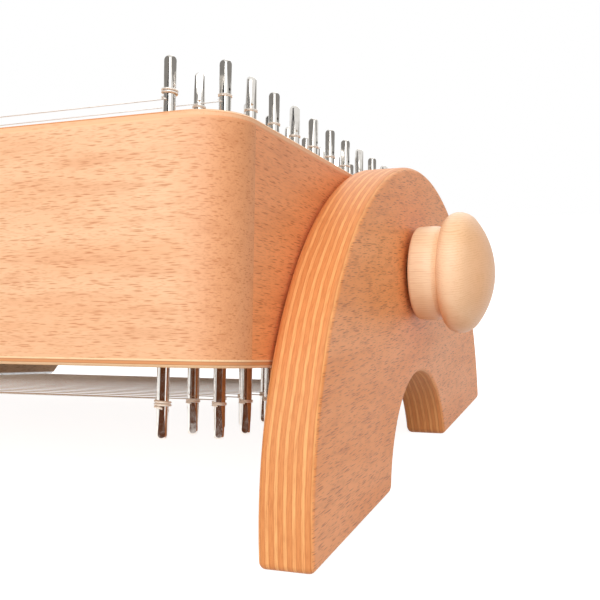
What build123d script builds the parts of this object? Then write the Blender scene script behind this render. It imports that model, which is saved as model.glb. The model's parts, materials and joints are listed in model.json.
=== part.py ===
from build123d import *
import math
import os

# Two-sided table monochord: a long soundbox strung above and below, held at each end
# between half-round feet by a turned knob on a threaded stud.
# Frame: X runs along the strings to the head end, where the tuning pins are, Z is up,
# and the origin lies on the table under the middle of the box. Sizes are in millimetres.

# Soundbox
box_length = 1200.0
box_width = 320.0
box_height = 92.0
board_thickness = 3.0
side_thickness = 20.0
corner_radius = 19.5
board_edge_chamfer = 0.8
pin_block_length = 62.0
hitch_block_length = 45.0
brace_thickness = 10.0
brace_count = 3

# Feet and the axis that the box turns about
foot_thickness = 22.0
foot_half_width = 153.0
foot_height = 148.0
arch_half_width = 52.5
arch_height = 45.0
foot_edge_chamfer = 2.5
arch_edge_chamfer = 1.5
stud_end_chamfer = 0.8
axis_height = 95.5
box_tilt = 9.6

# Clamp at each end: stud, socket, disc, washer, knob and bush
seat_gap = 0.1
running_clearance = 0.06
glue_clearance = 0.05
stud_radius = 4.0
stud_in_socket = 24.0
stud_in_knob = 18.0
socket_radius = 7.0
socket_depth = 26.0
disc_radius = 32.0
disc_thickness = 0.8
washer_radius = 15.0
washer_thickness = 2.0
bush_radius = 6.0
bush_length = 22.0
knob_length = 37.2
flange_radius = 22.6
flange_width = 8.4
flange_chamfer = 1.4
groove_radius = 20.2
groove_depth_x = 10.0
head_radius = 29.5
head_widest_x = 22.5
head_shoulder_radius = 13.0
head_shoulder_start = 150.0

# Tuning pins, in two staggered rows on each side of the pin block
pins_per_row = 11
pin_pitch = 24.5
outer_row_inset = 25.0
row_distance = 18.5
pin_radius = 2.5
pin_clearance = 0.05
board_hole_clearance = 0.3
pin_in_block = 27.0
pin_height_top = 32.0
pin_height_bottom = 28.0
pin_head_length = 12.5
pin_head_width = 4.7
pin_tip_width = 3.7
pin_bevel_length = 1.6
pin_bevel = 0.9
pin_turn_step = 37.0

# Strings, their bridges and hitch pins
string_radius_top = 0.3
string_radius_bottom = 0.4
wrap_middle_top = 17.3
wrap_middle_bottom = 15.1
crest_height_top = 12.0
crest_height_bottom = 13.7
wrap_height = 2.4
wrap_thickness = 0.9
head_bridge_inset = 300.0
tail_bridge_inset = 80.0
bridge_base_width = 18.0
bridge_top_width = 6.0
bridge_foot_height = 4.0
bridge_overhang = 9.0
rod_radius = 1.5
hitch_inset = 28.0
hitch_radius = 1.25
hitch_height = 8.0
hitch_depth = 14.0
hitch_loop_height = 4.5
hitch_row_offset = 6.0
wire_sides = 4
pin_sides = 6

# Places worked out from the sizes above
half_length = box_length / 2
half_height = box_height / 2
core_half_height = half_height - board_thickness
inner_half_width = box_width / 2 - side_thickness
foot_inner_x = half_length + disc_thickness + 2 * seat_gap
foot_outer_x = foot_inner_x + foot_thickness
knob_base_x = foot_outer_x + washer_thickness + 2 * seat_gap
string_spacing = pin_pitch / 2
string_count = 2 * pins_per_row
first_string_y = -string_spacing * (string_count - 1) / 2
outer_row_x = half_length - outer_row_inset
inner_row_x = outer_row_x - row_distance

tilt = math.radians(box_tilt)
box_plane = Plane(
    origin=(0, 0, axis_height), x_dir=(1, 0, 0), z_dir=(0, math.sin(tilt), math.cos(tilt))
)
under_plane = Plane(origin=box_plane.origin, x_dir=(1, 0, 0), z_dir=-box_plane.z_dir)


def crosswise_plane(side_plane, x):
    """The upright plane along the strings at x: its own x runs along them and its y outwards."""
    return Plane(
        origin=side_plane.from_local_coords((x, 0, 0)), x_dir=(1, 0, 0), z_dir=-side_plane.y_dir
    )


def end_plane(x, head):
    """An upright plane square to the knob axis at distance x from the middle, facing outwards."""
    side = 1 if head else -1
    return Plane(origin=(side * x, 0, axis_height), x_dir=(0, side, 0), z_dir=(side, 0, 0))


def pin_places(outer):
    """The x and y, in the box's own plane, of each pin of one row."""
    x = outer_row_x if outer else inner_row_x
    first = first_string_y + (string_spacing if outer else 0)
    return [(x, first + row * pin_pitch) for row in range(pins_per_row)]


def finish(builder, name):
    """Labels a piece and writes it to its own file."""
    builder.part.label = name
    export_step(builder.part, f"parts/{name}.step")


os.makedirs("parts", exist_ok=True)

# Soundbox frame: two sides, a block at each end and braces between. The pin block is bored
# right through, and each bore holds an upper and a lower tuning pin.
for name, side in (("front_side", -1), ("back_side", 1)):
    with BuildPart() as side_board:
        with BuildSketch(box_plane.offset(-core_half_height)):
            with Locations((0, side * (inner_half_width + side_thickness / 2))):
                outline = Rectangle(box_length, side_thickness)
            fillet(outline.vertices().group_by(Axis.Y)[-1 if side > 0 else 0], corner_radius)
        extrude(amount=2 * core_half_height)
    finish(side_board, name)

all_pins = pin_places(outer=True) + pin_places(outer=False)
with BuildPart() as pin_block:
    with BuildSketch(box_plane.offset(-core_half_height)):
        with Locations((half_length - pin_block_length / 2, 0)):
            Rectangle(pin_block_length, 2 * inner_half_width)
    extrude(amount=2 * core_half_height)
    with BuildSketch(box_plane.offset(-core_half_height)):
        with Locations(*all_pins):
            Circle(pin_radius + pin_clearance)
    extrude(amount=2 * core_half_height, mode=Mode.SUBTRACT)
    with BuildSketch(end_plane(half_length, head=True)):
        Circle(socket_radius + glue_clearance)
    extrude(amount=-socket_depth, mode=Mode.SUBTRACT)
finish(pin_block, "pin_block")

with BuildPart() as hitch_block:
    with BuildSketch(box_plane.offset(-core_half_height)):
        with Locations((-half_length + hitch_block_length / 2, 0)):
            Rectangle(hitch_block_length, 2 * inner_half_width)
    extrude(amount=2 * core_half_height)
    with BuildSketch(end_plane(half_length, head=False)):
        Circle(socket_radius + glue_clearance)
    extrude(amount=-socket_depth, mode=Mode.SUBTRACT)
finish(hitch_block, "hitch_block")

brace_bay = (box_length - pin_block_length - hitch_block_length) / (brace_count + 1)
with BuildPart() as cross_braces:
    with BuildSketch(box_plane.offset(-core_half_height)):
        for brace in range(1, brace_count + 1):
            with Locations((-half_length + hitch_block_length + brace * brace_bay, 0)):
                Rectangle(brace_thickness, 2 * inner_half_width)
    extrude(amount=2 * core_half_height)
finish(cross_braces, "cross_braces")

# Soundboards, drilled for the tuning pins
for name, face_plane, mirror_y in (
    ("top_soundboard", box_plane, 1),
    ("bottom_soundboard", under_plane, -1),
):
    with BuildPart() as soundboard:
        with BuildSketch(face_plane.offset(core_half_height)):
            RectangleRounded(box_length, box_width, corner_radius)
        extrude(amount=board_thickness)
        outward = Axis(face_plane.origin, face_plane.z_dir)
        chamfer(soundboard.faces().sort_by(outward)[-1].edges(), board_edge_chamfer)
        with BuildSketch(face_plane.offset(core_half_height)):
            with Locations(*[(x, mirror_y * y) for x, y in all_pins]):
                Circle(pin_radius + board_hole_clearance)
        extrude(amount=board_thickness, mode=Mode.SUBTRACT)
    finish(soundboard, name)


def key_section(width, turn):
    """A square of that width for a tuning key, with its corners cut back to the round pin."""
    half_width = width / 2
    corner = math.sqrt(pin_radius**2 - (pin_head_width / 2) ** 2) * width / pin_head_width
    quarter = [(half_width, -corner), (half_width, corner)]
    outline = [Vector(*point).rotate(Axis.Z, 90 * side) for side in range(4) for point in quarter]
    return Polygon(*outline, rotation=turn, align=None)


def tuning_pin(plane, height, turn):
    """A round pin whose head is squared and tapered for a tuning key, with a bevelled tip."""
    shank_top = half_height + height - pin_head_length
    with BuildPart() as pin:
        with BuildSketch(plane.offset(core_half_height - pin_in_block)):
            Circle(pin_radius)
        extrude(amount=shank_top - core_half_height + pin_in_block)
        with BuildSketch(plane.offset(shank_top)):
            key_section(pin_head_width, turn)
        with BuildSketch(plane.offset(shank_top + pin_head_length - pin_bevel_length)):
            key_section(pin_tip_width, turn)
        with BuildSketch(plane.offset(shank_top + pin_head_length)):
            key_section(pin_tip_width - 2 * pin_bevel, turn)
        loft(ruled=True)
    return pin.part


# Tuning pins of the upper side, each turning in its own hole
for index in range(string_count):
    is_outer = index % 2 == 1
    x, y = pin_places(is_outer)[index // 2]
    pin_plane = Plane(
        origin=box_plane.from_local_coords((x, y, 0)), x_dir=(1, 0, 0), z_dir=box_plane.z_dir
    )
    with BuildPart() as top_pin:
        add(tuning_pin(pin_plane, pin_height_top, index * pin_turn_step))
    finish(top_pin, f"top_tuning_pin_{index + 1:02d}")

# Tuning pins of the underside, one group for each row
for name, is_outer in (("bottom_tuning_pins_outer", True), ("bottom_tuning_pins_inner", False)):
    with BuildPart() as bottom_pins:
        for row, (x, y) in enumerate(pin_places(is_outer)):
            pin_plane = Plane(
                origin=box_plane.from_local_coords((x, y, 0)),
                x_dir=(1, 0, 0),
                z_dir=under_plane.z_dir,
            )
            add(tuning_pin(pin_plane, pin_height_bottom, (2 * row + is_outer) * pin_turn_step))
    finish(bottom_pins, name)

# Bridges, the steel rods on their crests, hitch pins and strings of both sides
string_places = [
    (index % 2 == 1, first_string_y + index * string_spacing) for index in range(string_count)
]
bridge_length = (string_count - 1) * string_spacing + 2 * bridge_overhang
head_bridge_x = half_length - head_bridge_inset
tail_bridge_x = -half_length + tail_bridge_inset


def hitch_x(outer):
    """Where a string's hitch pin stands, in two rows as close as the tuning pins."""
    return -half_length + hitch_inset + (0 if outer else hitch_row_offset)


def string(outer, radius, wrap_middle, crest_height):
    """One string at y = 0: a wrap round its pin, a run over both bridges and a loop."""
    pin_x = outer_row_x if outer else inner_row_x
    side_y = -(pin_radius + pin_clearance + radius)
    hitch_side_y = -(hitch_radius + radius)
    wrap_foot = half_height + wrap_middle - wrap_height / 2
    with BuildPart() as wire:
        with BuildLine():
            route = Polyline(
                (pin_x, side_y, wrap_foot + radius),
                (head_bridge_x, side_y, half_height + crest_height),
                (tail_bridge_x, side_y, half_height + crest_height),
                (hitch_x(outer), hitch_side_y, half_height + hitch_loop_height),
            )
        with BuildSketch(Plane(origin=route @ 0, z_dir=route % 0)):
            RegularPolygon(radius, wire_sides)
        sweep(transition=Transition.TRANSFORMED)
        with BuildSketch(Plane.XY.offset(wrap_foot)):
            with Locations((pin_x, 0)):
                RegularPolygon(pin_radius + pin_clearance + wrap_thickness, pin_sides)
        extrude(amount=wrap_height)
        with BuildSketch(Plane.XY.offset(half_height + hitch_loop_height - radius)):
            with Locations((hitch_x(outer), 0)):
                RegularPolygon(hitch_radius + 2 * radius, pin_sides)
        extrude(amount=2 * radius)
        with BuildSketch(Plane.XY):
            with Locations((pin_x, 0)):
                RegularPolygon(pin_radius + pin_clearance, pin_sides, major_radius=False)
            with Locations((hitch_x(outer), 0)):
                RegularPolygon(hitch_radius, pin_sides)
        extrude(amount=2 * box_height, mode=Mode.SUBTRACT)
    return wire.part


for side_name, side_plane, mirror_y, string_radius, wrap_middle, crest_height in (
    ("top", box_plane, 1, string_radius_top, wrap_middle_top, crest_height_top),
    ("bottom", under_plane, -1, string_radius_bottom, wrap_middle_bottom, crest_height_bottom),
):
    rod_centre = half_height + crest_height - string_radius - rod_radius
    for end_name, bridge_x in (("head", head_bridge_x), ("tail", tail_bridge_x)):
        with BuildPart() as bridge:
            with BuildSketch(crosswise_plane(side_plane, bridge_x)):
                with BuildLine():
                    Polyline(
                        (-bridge_base_width / 2, half_height),
                        (-bridge_base_width / 2, half_height + bridge_foot_height),
                        (-bridge_top_width / 2, rod_centre),
                        (bridge_top_width / 2, rod_centre),
                        (bridge_base_width / 2, half_height + bridge_foot_height),
                        (bridge_base_width / 2, half_height),
                        close=True,
                    )
                make_face()
                with Locations((0, rod_centre)):
                    Circle(rod_radius, mode=Mode.SUBTRACT)
            extrude(amount=bridge_length / 2, both=True)
        finish(bridge, f"{side_name}_{end_name}_bridge")

    with BuildPart() as bridge_rods:
        for bridge_x in (head_bridge_x, tail_bridge_x):
            with BuildSketch(crosswise_plane(side_plane, bridge_x)):
                with Locations((0, rod_centre)):
                    Circle(rod_radius)
            extrude(amount=bridge_length / 2, both=True)
    finish(bridge_rods, f"{side_name}_bridge_rods")

    with BuildPart() as hitch_pins:
        with BuildSketch(side_plane.offset(half_height - hitch_depth)):
            with Locations(*[(hitch_x(outer), mirror_y * y) for outer, y in string_places]):
                RegularPolygon(hitch_radius, pin_sides)
        extrude(amount=hitch_depth + hitch_height)
    finish(hitch_pins, f"{side_name}_hitch_pins")

    outer_string = string(True, string_radius, wrap_middle, crest_height)
    inner_string = string(False, string_radius, wrap_middle, crest_height)
    with BuildPart() as strings:
        for outer, y in string_places:
            place = Plane(
                origin=side_plane.from_local_coords((0, mirror_y * y, 0)),
                x_dir=(1, 0, 0),
                z_dir=side_plane.z_dir,
            )
            add((outer_string if outer else inner_string).moved(place.location))
    finish(strings, f"{side_name}_strings")

# Feet: half-round panels with a round arch cut from the base
for name, head in (("head_foot", True), ("tail_foot", False)):
    with BuildPart() as foot:
        with BuildSketch(end_plane(foot_inner_x, head)):
            with BuildLine():
                ThreePointArc(
                    (-foot_half_width, -axis_height),
                    (0, foot_height - axis_height),
                    (foot_half_width, -axis_height),
                )
                Line((foot_half_width, -axis_height), (arch_half_width, -axis_height))
                ThreePointArc(
                    (arch_half_width, -axis_height),
                    (0, arch_height - axis_height),
                    (-arch_half_width, -axis_height),
                )
                Line((-arch_half_width, -axis_height), (-foot_half_width, -axis_height))
            make_face()
            Circle(stud_radius + running_clearance, mode=Mode.SUBTRACT)
        extrude(amount=foot_thickness)
        rims = foot.edges().filter_by(GeomType.CIRCLE)
        chamfer(rims.filter_by(lambda rim: rim.radius > foot_height / 2), foot_edge_chamfer)
        rims = foot.edges().filter_by(GeomType.CIRCLE)
        arch_rims = rims.filter_by(lambda rim: socket_radius < rim.radius < foot_height / 2)
        chamfer(arch_rims, arch_edge_chamfer)
    finish(foot, name)

# Clamp pieces at each end
for end_name, head in (("head", True), ("tail", False)):
    with BuildPart() as disc:
        with BuildSketch(end_plane(half_length + seat_gap, head)):
            Circle(disc_radius)
            Circle(stud_radius + board_hole_clearance, mode=Mode.SUBTRACT)
        extrude(amount=disc_thickness)
    finish(disc, f"{end_name}_friction_disc")

    with BuildPart() as stud_socket:
        with BuildSketch(end_plane(half_length, head)):
            Circle(socket_radius)
            Circle(stud_radius + glue_clearance, mode=Mode.SUBTRACT)
        extrude(amount=-(socket_depth - seat_gap))
    finish(stud_socket, f"{end_name}_stud_socket")

    with BuildPart() as stud:
        with BuildSketch(end_plane(half_length - stud_in_socket, head)):
            Circle(stud_radius)
        extrude(amount=stud_in_socket + knob_base_x - half_length + stud_in_knob)
        chamfer(stud.edges().filter_by(GeomType.CIRCLE), stud_end_chamfer)
    finish(stud, f"{end_name}_stud")

    with BuildPart() as washer:
        with BuildSketch(end_plane(foot_outer_x + seat_gap, head)):
            Circle(washer_radius)
            Circle(stud_radius + board_hole_clearance, mode=Mode.SUBTRACT)
        extrude(amount=washer_thickness)
    finish(washer, f"{end_name}_washer")

    with BuildPart() as knob_bush:
        with BuildSketch(end_plane(knob_base_x, head)):
            Circle(bush_radius)
            Circle(stud_radius + running_clearance, mode=Mode.SUBTRACT)
        extrude(amount=bush_length)
    finish(knob_bush, f"{end_name}_knob_bush")

    # The turned head is a round shoulder that runs into a crown centred on the knob axis
    shoulder_centre = Vector(head_widest_x, head_radius - head_shoulder_radius)
    crown_radius = (
        (knob_length - head_widest_x) ** 2 + shoulder_centre.Y**2 - head_shoulder_radius**2
    ) / (2 * (knob_length - head_widest_x - head_shoulder_radius))
    crown_centre = Vector(knob_length - crown_radius, 0)
    crown_direction = (shoulder_centre - crown_centre).normalized()
    crown_edge = crown_centre + crown_direction * crown_radius
    shoulder_start = shoulder_centre + Vector(head_shoulder_radius, 0).rotate(
        Axis.Z, head_shoulder_start
    )
    crown_angle = math.degrees(math.atan2(crown_direction.Y, crown_direction.X))
    shoulder_middle = shoulder_centre + Vector(head_shoulder_radius, 0).rotate(
        Axis.Z, (head_shoulder_start + crown_angle) / 2
    )
    crown_middle = crown_centre + Vector(crown_radius, 0).rotate(Axis.Z, crown_angle / 2)
    with BuildPart() as knob:
        base = end_plane(knob_base_x, head)
        profile_plane = Plane(origin=base.origin, x_dir=base.z_dir, z_dir=(0, -1 if head else 1, 0))
        with BuildSketch(profile_plane):
            with BuildLine():
                Polyline(
                    (0, 0),
                    (0, flange_radius - flange_chamfer),
                    (flange_chamfer, flange_radius),
                    (flange_width, flange_radius),
                    (groove_depth_x, groove_radius),
                    shoulder_start,
                )
                ThreePointArc(shoulder_start, shoulder_middle, crown_edge)
                ThreePointArc(crown_edge, crown_middle, (knob_length, 0))
                Line((knob_length, 0), (0, 0))
            make_face()
        revolve(axis=Axis(base.origin, base.z_dir))
        with BuildSketch(base):
            Circle(bush_radius + glue_clearance)
        extrude(amount=bush_length + seat_gap, mode=Mode.SUBTRACT)
    finish(knob, f"{end_name}_knob")
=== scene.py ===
"""Looks of a two-sided table monochord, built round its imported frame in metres."""

import json
import logging
import math
from collections.abc import Callable, Iterable, Sequence
from dataclasses import dataclass, field
from enum import Enum

import bmesh
import bpy
from mathutils import Matrix, Vector


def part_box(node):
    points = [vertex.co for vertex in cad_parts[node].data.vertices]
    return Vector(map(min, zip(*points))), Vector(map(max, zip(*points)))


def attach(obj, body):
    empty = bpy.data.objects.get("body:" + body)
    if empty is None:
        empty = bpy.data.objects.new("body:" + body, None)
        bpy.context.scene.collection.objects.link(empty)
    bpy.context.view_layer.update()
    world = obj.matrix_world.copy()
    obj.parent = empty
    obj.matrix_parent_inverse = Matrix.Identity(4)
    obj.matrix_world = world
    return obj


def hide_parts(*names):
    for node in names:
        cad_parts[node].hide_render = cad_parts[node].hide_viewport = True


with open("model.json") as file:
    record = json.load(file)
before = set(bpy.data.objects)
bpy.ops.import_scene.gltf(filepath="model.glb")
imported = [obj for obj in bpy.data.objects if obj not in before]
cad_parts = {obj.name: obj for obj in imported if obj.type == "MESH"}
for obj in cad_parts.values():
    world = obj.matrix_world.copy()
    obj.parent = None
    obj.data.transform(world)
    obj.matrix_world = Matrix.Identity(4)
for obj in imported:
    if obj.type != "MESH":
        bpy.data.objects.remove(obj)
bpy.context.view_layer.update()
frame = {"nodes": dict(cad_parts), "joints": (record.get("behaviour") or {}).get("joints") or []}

LOG = logging.getLogger("monochord")
MM = 0.001
Colour = tuple[float, float, float]
Socket = bpy.types.NodeSocket


class Side(Enum):
    """The two strung sides of the soundbox."""

    UPPER = 1
    LOWER = -1


class End(Enum):
    """The two ends of the soundbox along X."""

    HEAD = 1
    TAIL = -1

    @property
    def prefix(self) -> str:
        """The word that this end's nodes and bodies start with."""
        return self.name.lower()


def srgb(red: int, green: int, blue: int) -> Colour:
    """Turns a display colour into the linear values that shaders use.

    Args:
        red: Red from 0 to 255.
        green: Green from 0 to 255.
        blue: Blue from 0 to 255.

    Returns:
        The three linear values.
    """

    def linear(value: int) -> float:
        share = value / 255
        return share / 12.92 if share <= 0.04045 else ((share + 0.055) / 1.055) ** 2.4

    return linear(red), linear(green), linear(blue)


def rgba(colour: Colour) -> tuple[float, float, float, float]:
    """The colour with full opacity."""
    return (*colour, 1.0)


class Graph:
    """Adds and joins nodes in one node tree."""

    def __init__(self, tree: bpy.types.NodeTree) -> None:
        """Keeps the tree that the nodes go into."""
        self.tree = tree

    def add(self, kind: str, inputs: dict | None = None, **settings: object) -> bpy.types.Node:
        """Adds one node.

        Args:
            kind: The node's type name without its ShaderNode prefix.
            inputs: Values or output sockets for the node's inputs, by name or number.
            settings: Properties of the node itself.

        Returns:
            The new node.
        """
        node = self.tree.nodes.new(f"ShaderNode{kind}")
        for name, value in settings.items():
            setattr(node, name, value)
        for key, value in (inputs or {}).items():
            if isinstance(value, bpy.types.NodeSocket):
                self.tree.links.new(value, node.inputs[key])
            else:
                node.inputs[key].default_value = value
        return node

    def math(self, operation: str, *values: object) -> Socket:
        """The result of one Math node."""
        return self.add("Math", dict(enumerate(values)), operation=operation).outputs[0]

    def ramp(self, value: Socket, low: float, high: float, start: float = 0.0, stop: float = 1.0) -> Socket:
        """Smoothly maps a value between two limits onto another range.

        Args:
            value: The value to map.
            low: Where the change starts.
            high: Where it ends.
            start: The result at and below low.
            stop: The result at and above high.

        Returns:
            The mapped value.
        """
        inputs = {"Value": value, "From Min": low, "From Max": high, "To Min": start, "To Max": stop}
        return self.add("MapRange", inputs, interpolation_type="SMOOTHSTEP").outputs[0]

    def mix(self, share: object, first: object, second: object, blend: str = "MIX") -> Socket:
        """Mixes two colours by a share from 0 to 1."""
        node = self.add("Mix", {0: share}, data_type="RGBA", blend_type=blend)
        for key, value in ((6, first), (7, second)):
            if isinstance(value, bpy.types.NodeSocket):
                self.tree.links.new(value, node.inputs[key])
            else:
                node.inputs[key].default_value = rgba(value)
        return node.outputs[2]

    def noise(self, vector: Socket, scale: float, detail: float = 2.0) -> Socket:
        """The value of a noise texture."""
        inputs = {"Vector": vector, "Scale": scale, "Detail": detail}
        return self.add("TexNoise", inputs).outputs[0]

    def scaled(self, vector: Socket, scale: Sequence[float], turn: Sequence[float] = (0, 0, 0)) -> Socket:
        """The vector turned, then stretched along each axis."""
        turned = self.add("Mapping", {"Vector": vector, "Rotation": tuple(turn)}).outputs[0]
        return self.add("Mapping", {"Vector": turned, "Scale": tuple(scale)}).outputs[0]


def group(name: str, inputs: dict[str, str], outputs: dict[str, str]) -> tuple[Graph, dict, dict]:
    """Starts a shader node group.

    Args:
        name: The group's name.
        inputs: Socket types of the group's inputs by name.
        outputs: Socket types of its outputs by name.

    Returns:
        The group's graph, its input sockets and the input sockets of its output node.
    """
    tree = bpy.data.node_groups.new(name, "ShaderNodeTree")
    for sockets, direction in ((inputs, "INPUT"), (outputs, "OUTPUT")):
        for socket, kind in sockets.items():
            tree.interface.new_socket(socket, in_out=direction, socket_type=f"NodeSocket{kind}")
    entry, leave = tree.nodes.new("NodeGroupInput"), tree.nodes.new("NodeGroupOutput")
    return Graph(tree), {s: entry.outputs[s] for s in inputs}, {s: leave.inputs[s] for s in outputs}


def fleck_group() -> bpy.types.NodeTree:
    """Builds the group for short spindles of pore or ray, as in beech."""
    graph, given, result = group(
        "Wood flecks",
        {"Vector": "Vector", "Length": "Float", "Width": "Float", "Depth": "Float", "Share": "Float"},
        {"Mask": "Float"},
    )
    size = graph.add("CombineXYZ", {0: given["Length"], 1: given["Depth"], 2: given["Width"]}).outputs[0]
    cells = graph.add("VectorMath", {0: given["Vector"], 1: size}, operation="DIVIDE").outputs[0]
    waver = graph.add("TexNoise", {"Vector": cells, "Scale": 0.35, "Detail": 1.0}).outputs[1]
    bent = graph.add("VectorMath", {0: cells, 1: waver}, operation="ADD").outputs[0]
    voronoi = graph.add("TexVoronoi", {"Vector": bent, "Scale": 1.0})
    spindle = graph.ramp(voronoi.outputs["Distance"], 0.12, 0.42, 1.0, 0.0)
    chance = graph.add("SeparateColor", {0: voronoi.outputs["Color"]}).outputs[0]
    kept = graph.math("LESS_THAN", chance, given["Share"])
    graph.tree.links.new(graph.math("MULTIPLY", spindle, kept), result["Mask"])
    return graph.tree


def grain_group() -> bpy.types.NodeTree:
    """Builds the group for the slow streaks and fine fibres that run along the wood."""
    graph, given, result = group(
        "Wood grain",
        {"Vector": "Vector", "Streak Length": "Float", "Streak Width": "Float"},
        {"Streaks": "Float", "Fibres": "Float"},
    )
    size = graph.add(
        "CombineXYZ", {0: given["Streak Length"], 1: given["Streak Width"], 2: given["Streak Width"]}
    ).outputs[0]
    cells = graph.add("VectorMath", {0: given["Vector"], 1: size}, operation="DIVIDE").outputs[0]
    graph.tree.links.new(graph.noise(cells, 1.0, 3.0), result["Streaks"])
    graph.tree.links.new(graph.noise(cells, 9.0, 4.0), result["Fibres"])
    return graph.tree


def ply_group() -> bpy.types.NodeTree:
    """Builds the group for the layers of a plywood edge, counted across the sheet."""
    graph, given, result = group(
        "Plywood layers",
        {"Across": "Float", "Layer": "Float", "Waver": "Float"},
        {"Pale Layer": "Float", "Glue Line": "Float"},
    )
    wavered = graph.math("ADD", graph.math("DIVIDE", given["Across"], given["Layer"]), given["Waver"])
    phase = graph.math("PINGPONG", wavered, 0.5)
    graph.tree.links.new(graph.ramp(phase, 0.10, 0.26, 1.0, 0.0), result["Pale Layer"])
    edge = graph.math("ABSOLUTE", graph.math("SUBTRACT", phase, 0.24))
    graph.tree.links.new(graph.ramp(edge, 0.0, 0.07, 1.0, 0.0), result["Glue Line"])
    return graph.tree


@dataclass
class Effects:
    """The shader groups that the finishes share."""

    flecks: bpy.types.NodeTree = field(default_factory=fleck_group)
    grain: bpy.types.NodeTree = field(default_factory=grain_group)
    plies: bpy.types.NodeTree = field(default_factory=ply_group)

    def place(self, graph: Graph, tree: bpy.types.NodeTree, inputs: dict) -> bpy.types.Node:
        """Puts one of the groups into a material."""
        return graph.add("Group", inputs, node_tree=tree)


@dataclass(frozen=True)
class BoxSpace:
    """The soundbox's own axes: x along the strings, y across and h out of the upper side."""

    axis_point: Vector
    up: Vector
    half_height: float

    @property
    def tilt(self) -> float:
        """How far the box is turned about X, in radians."""
        return math.atan2(self.up.y, self.up.z)

    @property
    def across(self) -> Vector:
        """The direction across the strings, away from the front long side."""
        return self.up.cross(Vector((1, 0, 0)))

    def seat(self, x: float, y: float, side: Side, turn: float = 0.0) -> Matrix:
        """The place of something that stands on the box.

        Args:
            x: Where it stands along the strings.
            y: Where it stands across them.
            side: The side that it stands on.
            turn: How far it is turned about its own axis.

        Returns:
            The matrix that takes a piece modelled on +Z from the origin to its place.
        """
        outward = self.up * side.value
        sideways = outward.cross(Vector((1, 0, 0)))
        origin = self.axis_point + Vector((x, 0, 0)) + self.across * y + outward * self.half_height
        axes = Matrix((Vector((1, 0, 0)), sideways, outward)).transposed().to_4x4()
        return Matrix.Translation(origin) @ axes @ Matrix.Rotation(turn, 4, "Z")

    def heights(self, node: str) -> list[float]:
        """The heights above the box's middle plane of a node's points."""
        return [(v.co - self.axis_point).dot(self.up) for v in frame["nodes"][node].data.vertices]


def joint(name: str) -> dict:
    """The frame's joint of that name."""
    return next(j for j in frame["joints"] if j["name"] == name)


def read_box_space() -> BoxSpace:
    """Works the soundbox's axes out from the joints and boards of the frame."""
    turn = joint("soundbox_turn")
    up = Vector(joint("top_tuning_pin_01_turn")["axis"]).normalized()
    draft = BoxSpace(Vector((0, *turn["pos_m"][1:])), up, 0.0)
    return BoxSpace(draft.axis_point, up, max(draft.heights("top_soundboard")))


def new_material(name: str) -> tuple[bpy.types.Material, Graph, bpy.types.Node]:
    """Starts a material.

    Args:
        name: The material's name.

    Returns:
        The material, its graph and its Principled shader.
    """
    material = bpy.data.materials.new(name)
    material.use_nodes = True
    shader = material.node_tree.nodes["Principled BSDF"]
    return material, Graph(material.node_tree), shader


def bump(graph: Graph, shader: bpy.types.Node, height: Socket, depth: float) -> None:
    """Feeds a height in units of depth, in metres, to the shader's normal."""
    node = graph.add("Bump", {"Height": height, "Distance": depth, "Strength": 1.0})
    graph.tree.links.new(node.outputs[0], shader.inputs["Normal"])


@dataclass(frozen=True)
class Beech:
    """Oiled beech with short dark flecks, the grain along one axis of the box."""

    name: str
    pale: Colour
    deep: Colour
    fleck: Colour
    fleck_length: float = 7.5 * MM
    fleck_width: float = 0.8 * MM
    fleck_depth: float = 2.2 * MM
    fleck_share: float = 0.9
    fleck_strength: float = 0.58
    across_grain: bool = False
    # Where the darkening towards the ends starts and is full: end grain and painted shade.
    end_start: float = 1.0
    end_stop: float = 2.0
    roughness: float = 0.46

    def build(self, effects: Effects, space: BoxSpace) -> bpy.types.Material:
        """Makes the material.

        Args:
            effects: The shared shader groups.
            space: The soundbox's axes, which the grain follows.

        Returns:
            The material.
        """
        material, graph, shader = new_material(self.name)
        along = box_vector(graph, space, self.across_grain)
        masks = []
        for size, share in ((1.0, self.fleck_share), (0.45, 0.8)):
            inputs = {
                "Vector": along,
                "Length": self.fleck_length * size,
                "Width": self.fleck_width * (0.3 + 0.7 * size),
                "Depth": self.fleck_depth * size,
                "Share": share,
            }
            masks.append(effects.place(graph, effects.flecks, inputs).outputs["Mask"])
        inputs = {"Vector": along, "Streak Length": 0.16, "Streak Width": 0.02}
        grain = effects.place(graph, effects.grain, inputs).outputs
        inputs = {"Vector": along, "Streak Length": 0.05, "Streak Width": 0.0055}
        lines = effects.place(graph, effects.grain, inputs).outputs
        ends = graph.math("ABSOLUTE", graph.add("SeparateXYZ", {0: box_vector(graph, space)}).outputs[0])
        tone = graph.ramp(grain["Streaks"], 0.3, 0.7, 0.05, 0.5)
        # Near the box's ends the sides turn towards the deep colour: end grain on the rounded corners, and painted
        # shade there as well.
        tone = graph.math("MAXIMUM", tone, graph.ramp(ends, self.end_start, self.end_stop))
        colour = graph.mix(tone, self.pale, self.deep)
        colour = graph.mix(graph.ramp(lines["Streaks"], 0.45, 0.75, 0.0, 0.22), colour, self.fleck)
        colour = graph.mix(graph.ramp(lines["Fibres"], 0.45, 0.8, 0.0, 0.3), colour, self.fleck)
        colour = graph.mix(graph.math("MULTIPLY", masks[1], self.fleck_strength * 0.55), colour, self.fleck)
        colour = graph.mix(graph.math("MULTIPLY", masks[0], self.fleck_strength), colour, self.fleck)
        graph.tree.links.new(colour, shader.inputs["Base Color"])
        rough = graph.ramp(masks[0], 0.0, 1.0, self.roughness, self.roughness + 0.14)
        graph.tree.links.new(rough, shader.inputs["Roughness"])
        shader.inputs["Specular IOR Level"].default_value = 0.32
        relief = graph.math("SUBTRACT", graph.math("MULTIPLY", lines["Fibres"], 0.4), masks[0])
        bump(graph, shader, relief, 0.03 * MM)
        return material


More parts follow.
